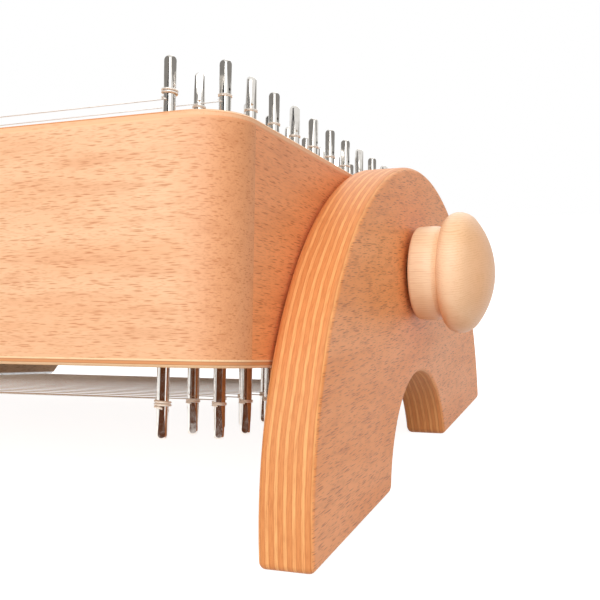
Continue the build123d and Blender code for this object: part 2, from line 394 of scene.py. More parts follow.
def box_vector(graph: Graph, space: BoxSpace, across_grain: bool = False) -> Socket:
    """Object coordinates in the soundbox's own axes.

    Args:
        graph: The material's graph.
        space: The soundbox's axes.
        across_grain: Whether the first axis is the one across the strings.

    Returns:
        The vector, with the grain's direction first and the height last.
    """
    place = graph.add("TexCoord").outputs["Object"]
    centred = graph.add("VectorMath", {0: place, 1: tuple(space.axis_point)}, operation="SUBTRACT").outputs[0]
    level = graph.add("Mapping", {"Vector": centred, "Rotation": (space.tilt, 0.0, 0.0)}).outputs[0]
    if not across_grain:
        return level
    return graph.add("Mapping", {"Vector": level, "Rotation": (0.0, 0.0, math.pi / 2)}).outputs[0]


@dataclass(frozen=True)
class ThinPly:
    """A three-layer board whose faces run along the strings and whose edge shows its layers."""

    name: str
    face: Colour
    skin: Colour
    core: Colour
    glue: Colour
    fleck: Colour
    line: Colour
    # Near the ends: the edge's top band; on the upper board a cream painted highlight on the eased edge, on the lower
    # board its line colour.
    end_skin: Colour
    end_line: Colour
    thickness: float
    line_depth: float = 0.22
    end_start: float = 0.566
    end_stop: float = 0.603

    def build(self, effects: Effects, space: BoxSpace) -> bpy.types.Material:
        """Makes the material.

        Args:
            effects: The shared shader groups.
            space: The soundbox's axes.

        Returns:
            The material.
        """
        material, graph, shader = new_material(self.name)
        along = box_vector(graph, space)
        height = graph.math("ABSOLUTE", graph.add("SeparateXYZ", {0: along}).outputs[2])
        depth = graph.math("DIVIDE", graph.math("SUBTRACT", space.half_height, height), self.thickness)
        middle = graph.math("ABSOLUTE", graph.math("SUBTRACT", depth, 0.55))
        core = graph.ramp(middle, 0.17, 0.21, 1.0, 0.0)
        glue = graph.ramp(graph.math("ABSOLUTE", graph.math("SUBTRACT", middle, 0.2)), 0.01, 0.07, 1.0, 0.0)
        inputs = {"Vector": along, "Length": 6 * MM, "Width": 1.4 * MM, "Depth": 0.5 * MM, "Share": 0.7}
        flecks = effects.place(graph, effects.flecks, inputs).outputs["Mask"]
        inputs = {"Vector": along, "Streak Length": 0.35, "Streak Width": 0.014}
        grain = effects.place(graph, effects.grain, inputs).outputs
        face = graph.mix(graph.ramp(grain["Streaks"], 0.3, 0.7, 0.0, 0.5), self.face, self.fleck)
        ends = graph.math("ABSOLUTE", graph.add("SeparateXYZ", {0: along}).outputs[0])
        near_end = graph.ramp(ends, self.end_start, self.end_stop)
        # Near the ends the top band of the edge turns cream on the upper board: a painted highlight on its eased edge.
        line = graph.mix(near_end, self.line, self.end_line)
        skin = graph.mix(near_end, self.skin, self.end_skin)
        edge = graph.mix(graph.ramp(depth, self.line_depth, self.line_depth + 0.06), line, skin)
        colour = graph.mix(graph.ramp(depth, 0.03, 0.07), face, edge)
        colour = graph.mix(core, colour, self.core)
        colour = graph.mix(graph.math("MULTIPLY", glue, 0.7), colour, self.glue)
        colour = graph.mix(graph.math("MULTIPLY", flecks, 0.25), colour, self.fleck)
        graph.tree.links.new(colour, shader.inputs["Base Color"])
        shader.inputs["Roughness"].default_value = 0.5
        shader.inputs["Specular IOR Level"].default_value = 0.3
        bump(graph, shader, grain["Fibres"], 0.02 * MM)
        return material


@dataclass(frozen=True)
class FootPly:
    """Thick beech plywood: fine slanting flecks on its faces and striped layers on its rim."""

    name: str
    face: Colour
    face_deep: Colour
    fleck: Colour
    layer_pale: Colour
    layer_deep: Colour
    glue: Colour
    layer: float = 3.5 * MM
    fleck_turn: float = math.radians(3)

    def build(self, effects: Effects, middle_x: float, half_thickness: float) -> bpy.types.Material:
        """Makes the material.

        Args:
            effects: The shared shader groups.
            middle_x: The middle of the foot's thickness, which the layers are counted from.
            half_thickness: Half of that thickness.

        Returns:
            The material.
        """
        material, graph, shader = new_material(self.name)
        place = graph.add("TexCoord").outputs["Object"]
        across = graph.math("SUBTRACT", graph.add("SeparateXYZ", {0: place}).outputs[0], middle_x)
        turned = graph.add("Mapping", {"Vector": place, "Rotation": (self.fleck_turn, 0, 0)}).outputs[0]
        grain_first = graph.add("Mapping", {"Vector": turned, "Rotation": (0, 0, math.pi / 2)}).outputs[0]
        masks = []
        for length, width in ((9.5 * MM, 0.75 * MM), (5.0 * MM, 0.5 * MM)):
            inputs = {"Vector": grain_first, "Length": length, "Width": width, "Depth": 2 * MM, "Share": 0.85}
            masks.append(effects.place(graph, effects.flecks, inputs).outputs["Mask"])
        inputs = {"Vector": grain_first, "Streak Length": 0.09, "Streak Width": 0.02}
        grain = effects.place(graph, effects.grain, inputs).outputs
        waver = graph.math("MULTIPLY", graph.math("SUBTRACT", graph.noise(place, 35.0), 0.5), 0.45)
        plies = effects.place(graph, effects.plies, {"Across": across, "Layer": self.layer, "Waver": waver})
        fibre = graph.noise(graph.scaled(place, (2400.0, 190.0, 190.0)), 1.0, 3.0)
        coarse = graph.noise(graph.scaled(place, (900.0, 60.0, 60.0)), 1.0, 2.0)
        pale = graph.math("MULTIPLY", plies.outputs["Pale Layer"], graph.ramp(coarse, 0.3, 0.6, 0.45, 1.0))
        rim = graph.mix(pale, self.layer_deep, self.layer_pale)
        rim = graph.mix(graph.math("MULTIPLY", plies.outputs["Glue Line"], 0.36), rim, self.glue)
        rim = graph.mix(graph.ramp(fibre, 0.4, 0.75, 0.0, 0.4), rim, self.glue)
        face = graph.mix(graph.ramp(grain["Streaks"], 0.25, 0.75), self.face, self.face_deep)
        face = graph.mix(graph.ramp(grain["Fibres"], 0.45, 0.8, 0.0, 0.3), face, self.fleck)
        face = graph.mix(graph.math("MULTIPLY", masks[1], 0.5), face, self.fleck)
        face = graph.mix(graph.math("MULTIPLY", masks[0], 0.66), face, self.fleck)
        depth = graph.math("SUBTRACT", half_thickness, graph.math("ABSOLUTE", across))
        on_rim = graph.ramp(depth, 0.3 * MM, 0.9 * MM)
        graph.tree.links.new(graph.mix(on_rim, face, rim), shader.inputs["Base Color"])
        shader.inputs["Roughness"].default_value = 0.48
        shader.inputs["Specular IOR Level"].default_value = 0.32
        relief = graph.math("SUBTRACT", graph.math("MULTIPLY", fibre, 0.4), masks[0])
        bump(graph, shader, relief, 0.025 * MM)
        return material


@dataclass(frozen=True)
class TurnedWood:
    """Pale wood turned on a lathe, whose growth rings run round a line beside the knob's axis, with painted shade
    towards its crown and its underside.
    """

    name: str
    pale: Colour
    deep: Colour
    ring: Colour
    # Tint of the painted shade towards the crown and the underside.
    oil: Colour
    ring_width: float = 1.05 * MM
    ring_centre: tuple[float, float] = (-14 * MM, -40 * MM)

    def build(self, axis_point: Vector, outward: int) -> bpy.types.Material:
        """Makes the material.

        Args:
            axis_point: The middle of the knob.
            outward: Whether the knob's crown, which shows end grain and takes painted shade, is towards +X or -X.

        Returns:
            The material.
        """
        material, graph, shader = new_material(self.name)
        place = graph.add("TexCoord").outputs["Object"]
        centre = (axis_point.x, axis_point.y + self.ring_centre[0], axis_point.z + self.ring_centre[1])
        local = graph.add("VectorMath", {0: place, 1: centre}, operation="SUBTRACT").outputs[0]
        flat = graph.add("VectorMath", {0: local, 1: (0.03, 1.0, 1.0)}, operation="MULTIPLY").outputs[0]
        distance = graph.add("VectorMath", {0: flat}, operation="LENGTH").outputs["Value"]
        waver = graph.math("MULTIPLY", graph.noise(flat, 110.0, 4.0), 2.6)
        saw = graph.math("FRACT", graph.math("ADD", graph.math("DIVIDE", distance, self.ring_width), waver))
        line = graph.math("MULTIPLY", graph.ramp(saw, 0.3, 0.85), graph.ramp(saw, 0.85, 1.0, 1.0, 0.0))
        breaks = graph.ramp(graph.noise(graph.scaled(local, (110.0, 420.0, 420.0)), 1.0, 2.0), 0.35, 0.65, 0.2, 1.0)
        line = graph.math("MULTIPLY", line, breaks)
        patch = graph.noise(flat, 30.0, 2.0)
        fibre = graph.noise(graph.scaled(local, (90.0, 2400.0, 2400.0)), 1.0, 2.0)
        middle = graph.add("VectorMath", {0: place, 1: tuple(axis_point)}, operation="SUBTRACT").outputs[0]
        parts = graph.add("SeparateXYZ", {0: middle}).outputs
        # Painted shade: darker and more orange towards the crown, where end grain also soaks up more of the finish, and
        # towards the underside.
        crown_shade = graph.ramp(graph.math("MULTIPLY", parts[0], outward), -4 * MM, 16 * MM)
        underside_shade = graph.ramp(graph.math("MULTIPLY", parts[2], -1.0), 2 * MM, 28 * MM)
        shade_share = graph.math("MAXIMUM", crown_shade, underside_shade)
        colour = graph.mix(graph.ramp(patch, 0.3, 0.7), self.pale, self.deep)
        colour = graph.mix(graph.math("MULTIPLY", shade_share, 0.52), colour, self.oil)
        colour = graph.mix(graph.math("MULTIPLY", line, graph.ramp(patch, 0.3, 0.7, 0.24, 0.4)), colour, self.ring)
        colour = graph.mix(graph.ramp(fibre, 0.45, 0.8, 0.0, 0.25), colour, self.ring)
        graph.tree.links.new(colour, shader.inputs["Base Color"])
        shader.inputs["Roughness"].default_value = 0.42
        shader.inputs["Specular IOR Level"].default_value = 0.38
        bump(graph, shader, graph.math("SUBTRACT", fibre, graph.math("MULTIPLY", line, 0.6)), 0.015 * MM)
        return material


@dataclass(frozen=True)
class Metal:
    """Bare or plated metal with faint wear."""

    name: str
    colour: Colour
    tarnish: Colour
    roughness: float
    wear_size: float = 2.0 * MM
    wear: float = 0.25
    brushed: float = 0.0
    metallic: float = 1.0

    def build(self) -> bpy.types.Material:
        """Makes the material."""
        material, graph, shader = new_material(self.name)
        place = graph.add("TexCoord").outputs["Object"]
        patch = graph.noise(place, 1 / self.wear_size, 3.0)
        colour = graph.mix(graph.ramp(patch, 0.4, 0.75, 0.0, self.wear), self.colour, self.tarnish)
        lines = graph.noise(graph.scaled(place, (4200.0, 4200.0, 160.0)), 1.0, 2.0)
        colour = graph.mix(graph.ramp(lines, 0.4, 0.7, 0.0, self.brushed), colour, self.tarnish)
        graph.tree.links.new(colour, shader.inputs["Base Color"])
        rough = graph.ramp(patch, 0.3, 0.8, self.roughness, self.roughness + 0.1)
        graph.tree.links.new(rough, shader.inputs["Roughness"])
        shader.inputs["Metallic"].default_value = self.metallic
        bump(graph, shader, graph.noise(place, 0.6 / MM, 2.0), 0.003 * MM)
        return material


@dataclass(frozen=True)
class Cork:
    """Matt cork and rubber sheet with dark and pale grains."""

    name: str
    colour: Colour
    dark: Colour
    pale: Colour
    grain: float = 1.1 * MM

    def build(self) -> bpy.types.Material:
        """Makes the material."""
        material, graph, shader = new_material(self.name)
        place = graph.add("TexCoord").outputs["Object"]
        cells = graph.add("TexVoronoi", {"Vector": place, "Scale": 1 / self.grain})
        chance = graph.add("SeparateColor", {0: cells.outputs["Color"]}).outputs[0]
        colour = graph.mix(graph.ramp(chance, 0.55, 0.75), self.colour, self.dark)
        colour = graph.mix(graph.ramp(chance, 0.1, 0.2, 0.5, 0.0), colour, self.pale)
        graph.tree.links.new(colour, shader.inputs["Base Color"])
        shader.inputs["Roughness"].default_value = 0.85
        bump(graph, shader, cells.outputs["Distance"], 0.15 * MM)
        return material


def circle_arc(centre: tuple[float, float], radius: float, start: float, stop: float, steps: int) -> list[Vector]:
    """Points on an arc in the XZ plane, angles in degrees from +X.

    Args:
        centre: The arc's centre.
        radius: Its radius.
        start: The angle that it starts at.
        stop: The angle that it ends at.
        steps: How many parts it has.

    Returns:
        The points, both ends included.
    """
    angles = [math.radians(start + (stop - start) * i / steps) for i in range(steps + 1)]
    return [Vector((centre[0] + radius * math.cos(a), 0, centre[1] + radius * math.sin(a))) for a in angles]


def revolved(profile: Sequence[Vector], steps: int) -> bmesh.types.BMesh:
    """Spins a profile in the XZ plane about Z.

    Args:
        profile: The profile's points from one end of the axis to the other.
        steps: How many parts the turn has.

    Returns:
        The closed shape.
    """
    shape = bmesh.new()
    points = [shape.verts.new(p) for p in profile]
    edges = [shape.edges.new(pair) for pair in zip(points, points[1:])]
    bmesh.ops.spin(
        shape, geom=points + edges, cent=(0, 0, 0), axis=(0, 0, 1), angle=math.tau, steps=steps, use_merge=True
    )
    bmesh.ops.remove_doubles(shape, verts=shape.verts, dist=1e-6)
    bmesh.ops.recalc_face_normals(shape, faces=shape.faces)
    return shape


def mesh_of(shape: bmesh.types.BMesh, name: str, smooth_angle: float = 30.0) -> bpy.types.Mesh:
    """Turns a bmesh into a mesh with smooth faces and sharp edges past an angle."""
    mesh = bpy.data.meshes.new(name)
    shape.to_mesh(mesh)
    shape.free()
    mesh.shade_smooth()
    mesh.set_sharp_from_angle(angle=math.radians(smooth_angle))
    return mesh


def joined(name: str, meshes: Iterable[tuple[bpy.types.Mesh, Matrix]]) -> bpy.types.Mesh:
    """One mesh from copies of others, each at its own place.

    Args:
        name: The new mesh's name.
        meshes: Each mesh with the matrix that takes it to its place.

    Returns:
        The joined mesh.
    """
    shape = bmesh.new()
    for mesh, place in meshes:
        copy = mesh.copy()
        copy.transform(place)
        shape.from_mesh(copy)
        bpy.data.meshes.remove(copy)
    result = bpy.data.meshes.new(name)
    shape.to_mesh(result)
    shape.free()
    return result


def cut(mesh: bpy.types.Mesh, cutter: bpy.types.Mesh, name: str) -> bpy.types.Mesh:
    """The mesh with the space of another one cut out of it."""
    whole = bpy.data.objects.new(name, mesh)
    tool = bpy.data.objects.new(f"{name}_cutter", cutter)
    for item in (whole, tool):
        bpy.context.scene.collection.objects.link(item)
    boolean = whole.modifiers.new("cut", "BOOLEAN")
    boolean.object = tool
    boolean.operation = "DIFFERENCE"
    boolean.solver = "EXACT"
    evaluated = whole.evaluated_get(bpy.context.evaluated_depsgraph_get())
    result = bpy.data.meshes.new_from_object(evaluated)
    result.name = name
    for item in (whole, tool):
        bpy.data.objects.remove(item)
    return result


def cylinder(radius: float, length: float, steps: int = 24) -> bmesh.types.BMesh:
    """A closed cylinder about Z, centred on the origin."""
    shape = bmesh.new()
    bmesh.ops.create_cone(shape, cap_ends=True, segments=steps, radius1=radius, radius2=radius, depth=length)
    return shape


@dataclass
class Workshop:
    """Places finished pieces on the frame and dresses them."""

    space: BoxSpace
    effects: Effects
    finishes: dict[str, bpy.types.Material] = field(default_factory=dict)

    def piece(
        self,
        name: str,
        mesh: bpy.types.Mesh,
        finish: str | Sequence[str],
        body: str,
        replaces: Sequence[str] = (),
        slot: str = "",
        even_normals: bool = False,
    ) -> bpy.types.Object:
        """Makes one piece of the object.

        Args:
            name: The piece's name.
            mesh: Its mesh, already in place.
            finish: Its finish, or one for each of the mesh's material slots.
            body: The body that it rides on.
            replaces: The nodes that it stands for.
            slot: The record's material slot; not used.
            even_normals: Whether its flat faces keep flat shading beside rounded edges.

        Returns:
            The new object.
        """
        item = bpy.data.objects.new(name, mesh)
        bpy.context.scene.collection.objects.link(item)
        mesh.materials.clear()
        for one in [finish] if isinstance(finish, str) else finish:
            mesh.materials.append(self.finishes[one])
        if even_normals:
            item.modifiers.new("even normals", "WEIGHTED_NORMAL").keep_sharp = True
        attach(item, body)
        if replaces:
            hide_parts(*replaces)
        LOG.info("%s rides on %s, %d faces", name, body, len(mesh.polygons))
        return item

    def dress(self, node: str, finish: str) -> None:
        """Gives a node of the frame its finish."""
        mesh = frame["nodes"][node].data
        mesh.materials.clear()
        mesh.materials.append(self.finishes[finish])
        LOG.info("%s has the finish %s", node, finish)


@dataclass
class TuningPins:
    """Round pins whose heads are squared by four tapered flats, drilled for the string."""

    shop: Workshop
    radius: float = 2.5 * MM
    flat_length: float = 17.0 * MM
    tip_half_width: float = 1.95 * MM
    dome: float = 2.3 * MM
    foot_bevel: float = 0.4 * MM
    lower_reach: float = 0.9 * MM
    hole_radius: float = 0.55 * MM
    hole_height: dict[Side, float] = field(default_factory=lambda: {Side.UPPER: 19.3 * MM, Side.LOWER: 17.6 * MM})
    turns: dict[Side, tuple[float, ...]] = field(
        default_factory=lambda: {
            Side.UPPER: (75, 75, 30, 36, 112, 70, 150, 48, 10, 80, 33, 66),
            Side.LOWER: (66, 60, 56, 68, 20, 75, 48, 62, 84, 33, 70),
        }
    )
    steps: int = 40

    def template(self, name: str, bottom: float, top: float, hole: float) -> bpy.types.Mesh:
        """Models one pin on +Z, with its zero at the surface of the box.

        Args:
            name: The mesh's name.
            bottom: The height of the pin's lower end.
            top: The height of its tip.
            hole: The height of the string hole.

        Returns:
            The pin's mesh.
        """
        dome = circle_arc((self.radius - self.dome, top - self.dome), self.dome, 0, 90, 6)
        profile = [
            Vector((0, 0, bottom)),
            Vector((self.radius - self.foot_bevel, 0, bottom)),
            Vector((self.radius, 0, bottom + self.foot_bevel)),
            *dome,
            Vector((0, 0, top)),
        ]
        shape = revolved(profile, self.steps)
        slope = math.atan((self.radius - self.tip_half_width) / self.flat_length)
        for quarter in range(4):
            turn = Matrix.Rotation(quarter * math.pi / 2, 3, "Z")
            outward = turn @ Vector((math.cos(slope), 0, math.sin(slope)))
            point = turn @ Vector((self.tip_half_width, 0, top))
            geometry = shape.verts[:] + shape.edges[:] + shape.faces[:]
            made = bmesh.ops.bisect_plane(shape, geom=geometry, plane_co=point, plane_no=outward, clear_outer=True)
            rim = [e for e in made["geom_cut"] if isinstance(e, bmesh.types.BMEdge)]
            for flat in bmesh.ops.edgenet_fill(shape, edges=rim)["faces"]:
                flat.material_index = 1
        bmesh.ops.recalc_face_normals(shape, faces=shape.faces)
        drill = cylinder(self.hole_radius, 4 * self.radius, 16)
        bmesh.ops.rotate(drill, verts=drill.verts, matrix=Matrix.Rotation(math.pi / 2, 3, "X"))
        bmesh.ops.translate(drill, verts=drill.verts, vec=(0, 0, hole))
        whole = mesh_of(shape, f"{name}_blank", 14.0)
        result = cut(whole, mesh_of(drill, f"{name}_drill"), name)
        result.shade_smooth()
        result.set_sharp_from_angle(angle=math.radians(14.0))
        return result

    def turn(self, index: int, side: Side) -> float:
        """How far a pin is turned about its own axis, as its string happens to need."""
        return math.radians(self.turns[side][index % len(self.turns[side])])

    def build(self, places: "StringPlan") -> None:
        """Makes every pin of both sides.

        Args:
            places: Where the pins stand.
        """
        space = self.shop.space
        upper = space.heights("top_tuning_pin_01")
        lower = space.heights("bottom_tuning_pins_inner")
        spans = {
            Side.UPPER: (min(upper) - space.half_height, max(upper) - space.half_height),
            Side.LOWER: (-max(lower) - space.half_height, -min(lower) - space.half_height + self.lower_reach),
        }
        shapes = {
            side: self.template(f"{side.name.lower()}_pin", *span, self.hole_height[side])
            for side, span in spans.items()
        }
        for index, (x, y) in enumerate(places.pins):
            node = f"top_tuning_pin_{index + 1:02d}"
            seat = space.seat(x, y, Side.UPPER, self.turn(index, Side.UPPER))
            mesh = joined(node, [(shapes[Side.UPPER], seat)])
            name = f"upper_tuning_pin_{index + 1:02d}"
            self.shop.piece(name, mesh, ("nickel", "milled nickel"), node, [node], "nickel")
        for row, parity in (("inner", 0), ("outer", 1)):
            pins = [
                (shapes[Side.LOWER], space.seat(x, y, Side.LOWER, self.turn(index, Side.LOWER)))
                for index, (x, y) in enumerate(places.pins)
                if index % 2 == parity
            ]
            mesh = joined(f"lower_{row}_pins", pins)
            node = f"bottom_tuning_pins_{row}"
            name = f"lower_tuning_pins_{row}"
            self.shop.piece(name, mesh, ("nickel", "milled nickel"), "soundbox", [node], "nickel")


@dataclass
class StringPlan:
    """Where the pins, bridges and hitch pins of every string stand, read from the frame."""

    space: BoxSpace
    pins: list[tuple[float, float]] = field(default_factory=list)

    def __post_init__(self) -> None:
        """Reads the pins' places from their joints."""
        for joint_data in frame["joints"]:
            if joint_data["name"].startswith("top_tuning_pin"):
                offset = Vector(joint_data["pos_m"]) - self.space.axis_point
                self.pins.append((joint_data["pos_m"][0], offset.dot(self.space.across)))

    def bridge_x(self, node: str) -> float:
        """The middle of a bridge along the strings."""
        low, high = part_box(node)
        return (low.x + high.x) / 2

    def hitch_x(self, outer: bool) -> float:
        """Where a string's hitch pin stands along the strings."""
        low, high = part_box("top_hitch_pins")
        radius = 1.25 * MM
        return low.x + radius if outer else high.x - radius


@dataclass
class Strings:
    """The wires of both sides, each one tube from its tuning pin to its hitch pin."""

    shop: Workshop
    plan: StringPlan
    pin_radius: float = 2.5 * MM
    turns: float = 2.5
    points_per_turn: int = 14
    bass_radius: float = 0.5 * MM
    run_share: dict[Side, float] = field(default_factory=lambda: {Side.UPPER: 0.5, Side.LOWER: 0.85})
    drop: dict[Side, float] = field(default_factory=lambda: {Side.UPPER: 2.2 * MM, Side.LOWER: 0.6 * MM})
    wire_radius: dict[Side, float] = field(default_factory=lambda: {Side.UPPER: 0.24 * MM, Side.LOWER: 0.28 * MM})
    coil_height: dict[Side, float] = field(default_factory=lambda: {Side.UPPER: 16.9 * MM, Side.LOWER: 14.8 * MM})
    hitch_radius: float = 1.25 * MM
    loop_height: float = 4.5 * MM
    twist_length: float = 7.0 * MM
    twists: int = 5

    def crest(self, side: Side) -> float:
        """How high the strings cross the bridges of that side."""
        node = "top_bridge_rods" if side is Side.UPPER else "bottom_bridge_rods"
        heights = self.shop.space.heights(node)
        edge = max(heights) if side is Side.UPPER else -min(heights)
        return edge - self.shop.space.half_height

    def route(self, index: int, side: Side, radius: float) -> list[Vector]:
        """The points of one string, with x along the strings, y across and z above the board.

        Args:
            index: The string's number from the front.
            side: The side that it is on.
            radius: The wire's radius.

        Returns:
            Its points, from the hole in the tuning pin to the end of the twist at its loop.
        """
        x, y = self.plan.pins[index]
        sideways = y * side.value
        around = self.pin_radius + radius
        count = int(self.turns * self.points_per_turn)
        rise = 2.15 * radius
        top = self.coil_height[side] + rise * self.turns / 2
        route = [Vector((x, sideways, top + rise * 1.6)), Vector((x + self.pin_radius * 0.9, sideways, top + rise * 1.2))]
        for i in range(count + 1):
            angle = -math.pi / 2 - math.tau * (count - i) / self.points_per_turn
            late = max(0.0, 1.0 - 2.0 * (count - i) / self.points_per_turn)
            height = top - rise * i / self.points_per_turn - self.drop[side] * late**2
            route.append(Vector((x + around * math.cos(angle), sideways + around * math.sin(angle), height)))
        prefix = "top" if side is Side.UPPER else "bottom"
        crest = self.crest(side) + radius
        for bridge in ("head", "tail"):
            route.append(Vector((self.plan.bridge_x(f"{prefix}_{bridge}_bridge"), sideways - around, crest)))
        hitch_x = self.plan.hitch_x(index % 2 == 1)
        loop = self.hitch_radius + radius
        steps = self.points_per_turn
        for i in range(steps + 1):
            angle = -math.pi / 2 - math.tau * i / steps
            bend = Vector((hitch_x + loop * math.cos(angle), sideways + loop * math.sin(angle), self.loop_height))
            route.append(bend + Vector((0, 0, 2 * radius * i / steps)))
        start, far = route[-1], route[-steps - 2]
        run = (far - start).normalized()
        for i in range(1, self.twists * 8 + 1):
            share = i / (self.twists * 8)
            angle = math.tau * self.twists * share
            offset = Vector((0, math.cos(angle), math.sin(angle))) * 1.7 * radius
            route.append(start + run * (self.twist_length * share + 2 * radius) + offset)
        return route

    def build(self) -> None:
        """Makes the strings of both sides."""
        for side, node, finish in ((Side.UPPER, "top_strings", "steel wire"), (Side.LOWER, "bottom_strings", "bronze wire")):
            wires = []
            for kind, indices in (("bass", [0]), ("plain", range(1, len(self.plan.pins)))):
                radius = self.bass_radius if kind == "bass" else self.wire_radius[side]
                curve = bpy.data.curves.new(f"{node}_{kind}", "CURVE")
                curve.dimensions = "3D"
                curve.bevel_depth = radius
                curve.bevel_resolution = 2
                curve.use_fill_caps = True
                for index in indices:
                    points = self.route(index, side, radius)
                    spline = curve.splines.new("POLY")
                    spline.points.add(len(points) - 1)
                    coil = 2 + int(self.turns * self.points_per_turn)
                    share = self.run_share[side] if kind == "bass" else 1.0
                    for number, (slot, point) in enumerate(zip(spline.points, points)):
                        slot.co = (*point, 1.0)
                        slot.radius = 1.0 if number < coil else share
                holder = bpy.data.objects.new(curve.name, curve)
                bpy.context.scene.collection.objects.link(holder)
                evaluated = holder.evaluated_get(bpy.context.evaluated_depsgraph_get())
                wire = bpy.data.meshes.new_from_object(evaluated)
                bpy.data.objects.remove(holder)
                for polygon in wire.polygons:
                    polygon.material_index = 1 if kind == "bass" else 0
                wires.append((wire, self.shop.space.seat(0, 0, side)))
            mesh = joined(node, wires)
            mesh.shade_smooth()
            name = f"{side.name.lower()}_strings"
            slot = "plain_wire" if side is Side.UPPER else "bronze_wire"
            self.shop.piece(name, mesh, [finish, "wound wire"], "soundbox", [node], slot)


@dataclass
class HitchPins:
    """Small round nails with domed heads that hold the strings' loops."""

    shop: Workshop
    plan: StringPlan
    radius: float = 1.25 * MM
    head_radius: float = 1.25 * MM
    height: float = 8.0 * MM
    depth: float = 14.0 * MM

    def build(self) -> None:
        """Makes the nails of both sides."""
        dome = circle_arc((0, self.height - self.radius), self.head_radius, 0, 90, 5)
        tip = [Vector((0, 0, -self.depth)), Vector((self.radius, 0, -self.depth + 2 * self.radius))]
        nail = mesh_of(revolved([*tip, *dome], 16), "nail")
        for side, node in ((Side.UPPER, "top_hitch_pins"), (Side.LOWER, "bottom_hitch_pins")):
            places = [
                (nail, self.shop.space.seat(self.plan.hitch_x(i % 2 == 1), y, side))
                for i, (_, y) in enumerate(self.plan.pins)
            ]
            mesh = joined(node, places)
            self.shop.piece(f"{side.name.lower()}_hitch_pins", mesh, "nickel", "soundbox", [node], "nickel")


@dataclass
class Foot:
    """A half-round plywood panel with a round arch, its edges and corners rounded."""

    shop: Workshop
    end: End
    edge_radius: float = 2.6 * MM
    corner_radius: float = 3.6 * MM
    hole_radius: float = 4.06 * MM
    arch_half_width: float = 52.5 * MM
    arch_height: float = 45.0 * MM
    arc_steps: int = 96

    def arc(self, half_width: float, height: float, steps: int) -> list[Vector]:
        """Points of the arc that stands on the table with that half width and height."""
        radius = (half_width**2 + height**2) / (2 * height)
        reach = math.degrees(math.asin(min(1.0, half_width / radius)))
        if height > half_width:
            reach = 180 - reach
        points = circle_arc((0, height - radius), radius, 90 - reach, 90 + reach, steps)
        clear = 1.5 * self.corner_radius
        inner = [p for p in points[1:-1] if min((p - points[0]).length, (p - points[-1]).length) > clear]
        return [points[0], *inner, points[-1]]

    def build(self) -> None:
        """Makes the foot."""
        node = f"{self.end.prefix}_foot"
        low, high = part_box(node)
        half_width = (high.y - low.y) / 2
        rim = self.arc(half_width, high.z - low.z, self.arc_steps)
        arch = self.arc(self.arch_half_width, self.arch_height, self.arc_steps // 2)
        shape = bmesh.new()
        outline = [shape.verts.new((low.x, p.x, p.z)) for p in [*rim, *reversed(arch)]]
        face = shape.faces.new(outline)
        corners = [outline[0], outline[len(rim) - 1], outline[len(rim)], outline[-1]]
        bmesh.ops.bevel(
            shape, geom=corners, affect="VERTICES", offset=self.corner_radius, segments=6, profile=0.5, material=-1
        )
        extruded = bmesh.ops.extrude_face_region(shape, geom=shape.faces[:])
        moved = [v for v in extruded["geom"] if isinstance(v, bmesh.types.BMVert)]
        bmesh.ops.translate(shape, verts=moved, vec=(high.x - low.x, 0, 0))
        bmesh.ops.recalc_face_normals(shape, faces=shape.faces)
        borders = [e for e in shape.edges if abs(e.verts[0].co.x - e.verts[1].co.x) < MM / 10]
        bmesh.ops.bevel(
            shape, geom=borders, affect="EDGES", offset=self.edge_radius, segments=5, profile=0.5, material=-1
        )
        drill = cylinder(self.hole_radius, 3 * (high.x - low.x), 32)
        bmesh.ops.rotate(drill, verts=drill.verts, matrix=Matrix.Rotation(math.pi / 2, 3, "Y"))
        bmesh.ops.translate(drill, verts=drill.verts, vec=((low.x + high.x) / 2, 0, self.shop.space.axis_point.z))
        mesh = cut(mesh_of(shape, f"{node}_blank", 40.0), mesh_of(drill, f"{node}_drill"), node)
        mesh.shade_smooth()
        mesh.set_sharp_from_angle(angle=math.radians(40.0))
        finish = f"{self.end.prefix} foot"
        self.shop.piece(f"{self.end.prefix}_foot_panel", mesh, finish, node, [node], "foot_plywood", even_normals=True)


